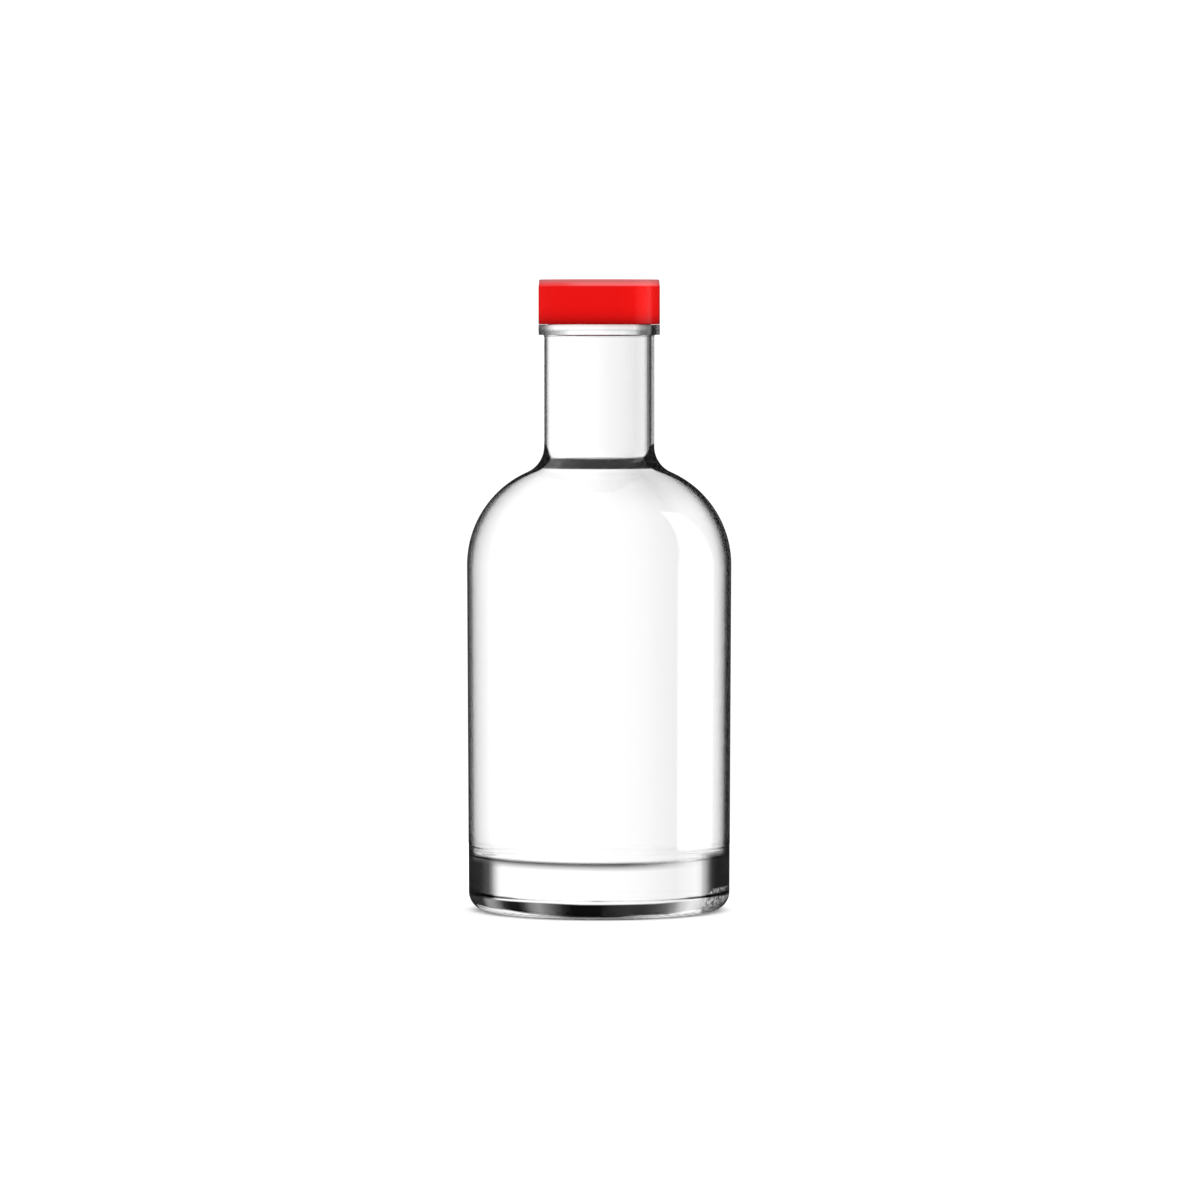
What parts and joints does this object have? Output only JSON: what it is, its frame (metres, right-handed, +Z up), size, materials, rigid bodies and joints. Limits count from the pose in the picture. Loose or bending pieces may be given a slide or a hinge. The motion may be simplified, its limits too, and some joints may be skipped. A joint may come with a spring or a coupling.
{
  "type": "screw-cap glass bottle",
  "caption": "Clear round glass bottle full of a colourless drink, with a thick base, domed shoulder and straight neck, closed by a low smooth red screw cap.",
  "frame": {"origin": "centre of the base, in the plane of the bearing ring that the bottle stands on", "axes": "+Z is up, along the bottle's turning axis; +X is to the right and -Y faces the viewer, and both are free choices because the glass and the cap are round"},
  "size_m": [0.065, 0.065, 0.155],
  "materials": {
    "clear_glass": "clear, fire polished, colourless",
    "clear_drink": "clear colourless liquid",
    "red_plastic": "smooth glossy moulded, signal red"
  },
  "bodies": {
    "root": {"glass_bottle": "clear_glass", "clear_drink": "clear_drink", "screw_cap": "red_plastic"}
  },
  "joints": []
}
